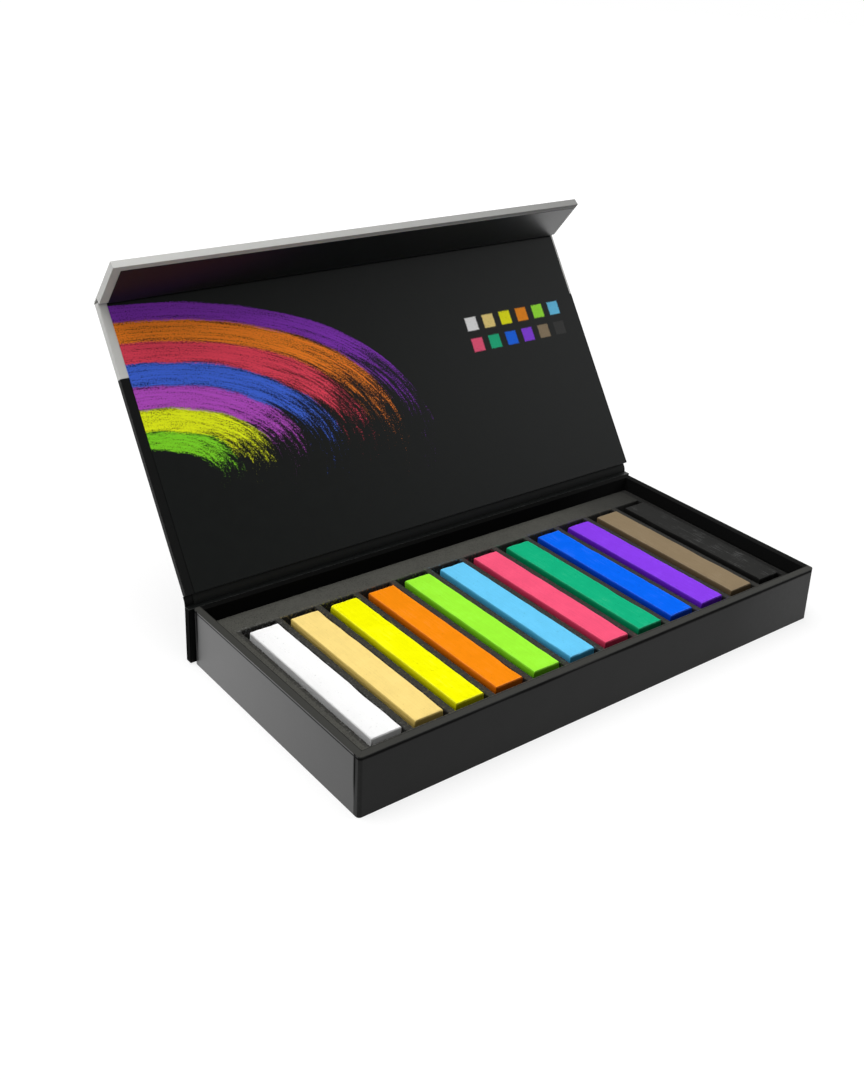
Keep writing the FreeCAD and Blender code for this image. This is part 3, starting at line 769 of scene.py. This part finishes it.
def at_ends(middle):
    return abs(middle.x) > cover_high.x - 0.5 * MM


def at_ends_or_foot(middle):
    return at_ends(middle) or middle.z < 5 * MM


for board, body, finish, slot, chosen in (
        ("lid", "lid", cover_print, "cover_wrap", at_ends),
        ("flap", "flap", silver_paper, "cover_wrap", None),
        ("spine", "tray", spine_black, "black_wrap", at_ends_or_foot)):
    piece(board + "_outer_paper", rounded_copy(board + "_wrap", COVER_ROUND, chosen=chosen), finish, body,
          slot, board + "_wrap")

# %% [markdown]
# ## The lining, with a picture of chalk strokes
#
# The lid's lining is printed. A picture could be an image file, but this one is drawn by the finish
# itself: a rainbow of broad chalk strokes and a small chart of the twelve colours. Each point of the
# lid is given as a distance and an angle from the rainbow's middle, so a band is a stretch of distance,
# and a stroke runs dry as its angle falls. The tooth of the paper then decides which grains hold chalk.

# %% Chalk strokes on the lining
LINING_INK = (0.0034, 0.0042, 0.0039)
STROKES = {
    "green": (0.2, 0.62, 0.02),
    "yellow": (0.72, 0.8, 0.01),
    "mauve": (0.42, 0.07, 0.5),
    "blue": (0.045, 0.12, 0.62),
    "red": (0.68, 0.05, 0.09),
    "orange": (0.78, 0.2, 0.015),
    "violet": (0.2, 0.03, 0.42)}
BAND, FIRST_BAND = 7 * MM, 13 * MM
LAST_BAND_END = FIRST_BAND + len(STROKES) * BAND
LEFT_OF_MIDDLE, ABOVE_FOLD, WIDENED = 97 * MM, 15 * MM, 0.55


def rainbow(finish, x, v, tooth):
    """Quarter rings of chalk. Gives their colour, and how much of it the paper holds."""
    along, up = (x + LEFT_OF_MIDDLE) * WIDENED, v + ABOVE_FOLD
    far = finish.math("SQRT", along * along + up * up)
    angle = finish.math("ARCTAN2", up, along)
    streak = finish.grain(finish.point(far * 9, angle * 0.02), 6 * MM, 4, 0.7)
    sway = finish.grain(finish.point(far * 0.5, angle * 0.02), 9 * MM, 2)
    far = far + (sway - 0.5) * 3 * MM
    blurred = far - FIRST_BAND + (tooth - 0.5) * 5 * MM + (streak - 0.5) * 3 * MM
    colour = finish.bands(blurred / (LAST_BAND_END - FIRST_BAND), list(STROKES.values()))
    thin = 1 - finish.rise(finish.there_and_back(far - FIRST_BAND, BAND / 2), 0, 1.6 * MM)
    rings = (finish.rise(far, FIRST_BAND - 0.8 * MM, FIRST_BAND + 1.4 * MM)
             * (1 - finish.rise(far, LAST_BAND_END - 1.8 * MM, LAST_BAND_END)))
    dry = 0.66 - finish.rise(angle + (streak - 0.5) * 0.7, -0.45, 0.95) * 0.28 + thin * 0.05
    bare_below = dry + (1 - rings) * 0.4
    held = finish.rise(tooth * 0.62 + streak * 0.38, bare_below, bare_below + 0.1)
    return finish.scaled(0.6 + tooth * 0.5 + streak * 0.5, colour), held


print("strokes from the inside out:", ", ".join(STROKES))

# %% A chart of the colours
STEP, CHART_LEFT, CHART_LOW = 8 * MM, 38 * MM, 6 * MM
IN_A_ROW = 6


def chart(finish, x, v, tooth):
    """Two rows of six dabs, one in each colour of the box."""
    right, up = x - CHART_LEFT, v - CHART_LOW
    dabs = [toned(colour, 0.8) for colour in STICK_COLOURS.values()]
    rows = [finish.bands(right / (STEP * IN_A_ROW), row) for row in (dabs[IN_A_ROW:], dabs[:IN_A_ROW])]
    colour = finish.mix(finish.rise(up, STEP - 0.1 * MM, STEP + 0.1 * MM), *rows)
    ragged = (tooth - 0.5) * 1.6 * MM
    dab = (finish.rise(finish.there_and_back(right, STEP / 2) + ragged, 1.3 * MM, 1.7 * MM)
           * finish.rise(finish.there_and_back(up, STEP / 2) + ragged, 1.3 * MM, 1.7 * MM))
    half = IN_A_ROW / 2 * STEP
    here = finish.near(x, CHART_LEFT + half, half) * finish.near(v, CHART_LOW + STEP, STEP)
    return colour, dab * finish.rise(here, 0.0, 0.0002) * finish.rise(tooth, 0.3, 0.42)


print("chart of", IN_A_ROW, "by 2 dabs,", round(STEP / MM), "mm apart")

# %% Lining papers
LINING_ROUND = 0.07 * MM


def lining_paper(name, gloss, picture=False, **more):
    """The inner sheet: black satin paper, on the lid with its printed picture."""
    finish, (point, x, y, z), _ = satin_paper(name, LINING_INK, 0.4, gloss, 0.12 * MM, lid_shut, **more)
    if picture:
        v = y * -1
        tooth = finish.grain(point, 0.42 * MM, 4, 0.75)
        strokes, held = rainbow(finish, x, v, tooth)
        dabs, dabbed = chart(finish, x, v, tooth)
        finish.feed("Base Color", finish.mix(dabbed, finish.mix(held, finish.tint, strokes), dabs))
    return finish, x


lining_black, _ = lining_paper("lining_black_paper", 0.4)
flap_black, x = lining_paper("flap_lining_paper", 0.3, Coat_Roughness=0.3)
flap_black.feed("Coat Weight", flap_black.rise(x, 50 * MM, 92 * MM) * 0.75)
groove_black, _, _ = satin_paper("groove_black_paper", (0.005, 0.0056, 0.0052), 0.6, 0.1, 0.1 * MM)
printed_lining, _ = lining_paper("printed_lining_paper", 0.07, picture=True)
for board, body, finish in (("lid", "lid", printed_lining), ("flap", "flap", flap_black),
                            ("spine", "tray", lining_black)):
    piece(board + "_lining_paper", rounded_copy(board + "_lining", LINING_ROUND, 2), finish, body,
          "inner_lining", board + "_lining")

# %% [markdown]
# ## The paper hinges
#
# Where the cover bends there is no board, only the outer sheet and the lining glued together. Each
# sheet is a ribbon: it follows an arc and then a short straight, from one board's edge to the next.
# The flap's outer ribbon is thicker, because there the sheet is turned in and so lies double.
# Each is built where it lies in this pose, and rides on no body.
#
# An armature could bend them, but a spin of a thin strip gives the true arc with few faces. Its
# radius and the straight's length follow from where it starts and ends, and which way it heads there.

# %% Sweep a ribbon
SHEET, DOUBLED = 0.2 * MM, 0.45 * MM
ARC_STEPS, STRAIGHT_STEPS = 12, 4


def ribbon(start, heading, end, end_heading, reach, depth, thick):
    """A sheet swept in a plane across X, from its outer line's start to its end, at a depth under it."""
    turn = end_heading - heading
    arc = Vector((sin(end_heading) - sin(heading), cos(heading) - cos(end_heading)))
    onward = Vector((cos(end_heading), sin(end_heading)))
    gap = Vector(end) - Vector(start)
    spread = arc.x * onward.y - arc.y * onward.x
    radius = (gap.x * onward.y - gap.y * onward.x) / spread
    straight = (arc.x * gap.y - arc.y * gap.x) / spread
    bm = bmesh.new()
    bmesh.ops.create_grid(bm, x_segments=1, y_segments=1, size=0.5)
    bmesh.ops.scale(bm, vec=(reach[1] - reach[0], thick, 1), verts=bm.verts)
    bmesh.ops.translate(bm, vec=((reach[0] + reach[1]) / 2, depth + thick / 2, 0), verts=bm.verts)
    bmesh.ops.rotate(bm, matrix=Matrix.Rotation(heading + radians(90), 3, "X"), verts=bm.verts)
    bmesh.ops.translate(bm, vec=(0, *start), verts=bm.verts)
    centre = Vector((0, start[0] - radius * sin(heading), start[1] + radius * cos(heading)))
    swept = bmesh.ops.spin(bm, geom=bm.verts[:] + bm.edges[:] + bm.faces[:], cent=centre, axis=(1, 0, 0),
                           angle=turn, steps=ARC_STEPS)
    last = swept["geom_last"]
    for _ in range(STRAIGHT_STEPS):
        last = bmesh.ops.extrude_face_region(bm, geom=last)["geom"]
        ends = [item for item in last if isinstance(item, bmesh.types.BMVert)]
        bmesh.ops.translate(bm, vec=(0, *(onward * straight / STRAIGHT_STEPS)), verts=ends)
    bmesh.ops.remove_doubles(bm, verts=bm.verts, dist=TOUCHING)
    bmesh.ops.recalc_face_normals(bm, faces=bm.faces)
    print(f"ribbon: bend of {degrees(turn):.0f} degrees, radius {abs(radius) / MM:.2f} mm,",
          f"straight {straight / MM:.2f} mm")
    return bm


print("a ribbon has", ARC_STEPS, "steps round its arc and", STRAIGHT_STEPS, "along its straight")

# %% Where the ribbons start and end
# A way is a ribbon's outer line, seen along X: its start and its heading there, then its end and its
# heading there.
FOLD_DEPTH, LID_SETBACK, FLAP_SETBACK = 0.75 * MM, 0.7 * MM, 0.05 * MM
lid_opening = about(lid_fold, -lid_opened)
top, back = lid_fold.z + FOLD_DEPTH, lid_fold.y
lid_rear = lid_opening @ Vector((0, back - LID_SETBACK, top))
flap_top = about(flap_fold, flap_bent) @ Vector((0, flap_fold.y - FOLD_DEPTH, rim))
lid_way = ((back, rim), radians(90), lid_rear.yz, radians(180) - lid_opened)
flap_start = flap_fold.y - FLAP_SETBACK
flap_way = ((flap_start, top), radians(180), flap_top.yz, radians(270) + flap_bent)
whole = (cover_low.x, cover_high.x)
lined = [corner.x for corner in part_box("lid_lining")]
print(f"outer sheets {(whole[1] - whole[0]) / MM:.0f} mm long, linings {(lined[1] - lined[0]) / MM:.0f} mm")


# %% The four ribbons
def hinge(fold, way, turned, thick, outer, outer_slot, inner):
    """The outer sheet and the lining of one fold, between the two boards that it joins."""
    for layer, reach, depth, thickness, finish, slot, stands_for in (
            ("_sheet", whole, 0, thick, outer, outer_slot, [fold + "_paper"]),
            ("_lining", lined, thick, SHEET, inner, "hinge_paper", [])):
        bm = ribbon(*way, reach, depth, thickness)
        bmesh.ops.transform(bm, matrix=about(lid_fold, turned), verts=bm.verts)
        strip = piece(fold + layer, bm, finish, None, slot, *stands_for)
        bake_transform(strip)


hinge("lid_hinge", lid_way, 0, SHEET, spine_black, "hinge_paper", groove_black)
hinge("flap_hinge", flap_way, -lid_opened, DOUBLED, silver_paper, "cover_wrap",
      lining_black)

# %% [markdown]
# ## The floor and the surroundings
#
# The box stands on a white table in front of white. More light would wash out the paper's blacks, so the
# white is shown only to the camera and to reflections, by Light Path. The table is a plain grey disc
# that glows for them, which keeps the box's soft shadow on it. The world is white for them and dim for
# all other light, brighter from behind than from the front.

# %% White floor and white surroundings
def seen_directly(finish):
    """One for what the camera, a reflection or glass shows, and nought for light that falls on a piece."""
    return finish.most(*[finish.node("LightPath", {}, {}, f"Is {kind} Ray")
                         for kind in ("Camera", "Glossy", "Transmission")])


FLOOR_RADIUS, FLOOR_DROP = 2.5, 0.05 * MM
GLOW_NEAR, GLOW_RISE = 0.735, 0.2
ROOM_FRONT, ROOM_BEHIND = 0.24, 0.48
table = Finish("white_table", Roughness=0.9, Specular_IOR_Level=0.0, Base_Color=(0.3, 0.3, 0.3, 1),
               Emission_Strength=1)
_, x, y, _ = table.place()
away = table.rise(table.math("SQRT", x * x + y * y), 0.2, 0.7)
glow = seen_directly(table) * (GLOW_NEAR + away * GLOW_RISE)
table.feed("Emission Color", table.mix(glow, (0, 0, 0), (1, 1, 1)))
bm = bmesh.new()
bmesh.ops.create_circle(bm, cap_ends=True, segments=96, radius=FLOOR_RADIUS)
bmesh.ops.translate(bm, vec=(0, 0, -FLOOR_DROP), verts=bm.verts)
floor_mesh = bpy.data.meshes.new("floor")
bm.to_mesh(floor_mesh)
bm.free()
floor_mesh.materials.append(table.material)
floor = put("floor", floor_mesh)
floor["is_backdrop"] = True

room = Finish("soft_room", bpy.data.worlds, "Background", Color=(1, 1, 1, 1))
bpy.context.scene.world = room.material
behind = room.node("SeparateXYZ", {}, {0: room.node("TexCoord", {}, {}, "Generated")}, "Y")
dim = room.climb(behind, -1, 1, ROOM_FRONT, ROOM_BEHIND)
room.feed("Strength", room.climb(seen_directly(room), 0, 1, dim, 1.0))
print("floor", [round(length, 1) for length in floor.dimensions.xy], "m wide, world", room.material.name)

# %% [markdown]
# ## The lamps
#
# Satin paper shows its shape by broad soft reflections, and a small hard lamp would leave only points of
# light on it. So the lamps are wide rectangles: the main one high above, one low at the left that gives
# the tray's end its sheen, and one in front at the right that lifts the front wall. They are kept so
# weak that a colour renders about as it is written.

# %% Three soft lamps
# Place, the point it is aimed at, width and height in metres, and power in watts.
LAMPS = {
    "top_lamp": ((-0.15, 0.12, 0.9), (0, 0, 0), (0.7, 0.7), 6.25),
    "left_lamp": ((-0.5, 0.25, 0.15), (-0.092, 0, 0.01), (0.4, 0.12), 0.8),
    "right_lamp": ((0.62, -0.34, 0.44), (0.05, 0.07, 0.05), (0.4, 0.4), 1.6)}
for name, (place, aim, size, power) in LAMPS.items():
    data = bpy.data.lights.new(name, "AREA")
    data.shape = "RECTANGLE"
    data.size, data.size_y = size
    data.energy = power
    lamp = put(name, data)
    lamp.location = place
    lamp.rotation_euler = (Vector(aim) - Vector(place)).to_track_quat("-Z", "Y").to_euler()
    lamp.visible_camera = False
    print(name, size, "m,", power, "W")

# %% [markdown]
# ## The pieces that the paper hides
#
# Inside the wraps are grey board, steel discs and magnets. The papers cover them at every pose, but each
# CAD piece is also looked at alone, so none keeps its plain first colour. Their shapes are right as they
# are, so only the material in their slot changes. Board is pulped paper, so one noise gives its colour,
# its relief and its roughness, and the zinc on the steel gets a finer one.

# %% Board and steel
board = Finish("grey_board", Specular_IOR_Level=0.2)
pulp = board.grain(board.place()[0], 0.7 * MM, 5, 0.65)
board.bump(pulp, 0.05 * MM)
board.feed("Base Color", board.mix(pulp, (0.3, 0.285, 0.26), (0.5, 0.48, 0.44)))
board.feed("Roughness", 0.85 + (pulp - 0.5) * 0.1)
steel = Finish("zinc_steel", Metallic=1.0)
brushed = steel.grain(steel.place()[0], 0.3 * MM, 3)
steel.feed("Base Color", steel.mix(brushed, (0.42, 0.42, 0.43), (0.56, 0.56, 0.57)))
steel.feed("Roughness", 0.32 + (brushed - 0.5) * 0.2)


def hidden_finish(name):
    """The finish of a CAD piece, by its name."""
    if "lining" in name or "hinge" in name:
        return lining_black
    if "disc" in name or "magnet" in name:
        return steel
    return board


for name, node in cad.items():
    node.material_slots[0].material = hidden_finish(name).material
print(len(cad), "CAD pieces have a finish")

# %% [markdown]
# ## The finished box
#
# The pieces above refine the CAD model. The box round what now shows is printed at the end.

# %% Measure and finish
low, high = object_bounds()
print("visual box in mm:", [round(length / MM, 2) for length in high - low])
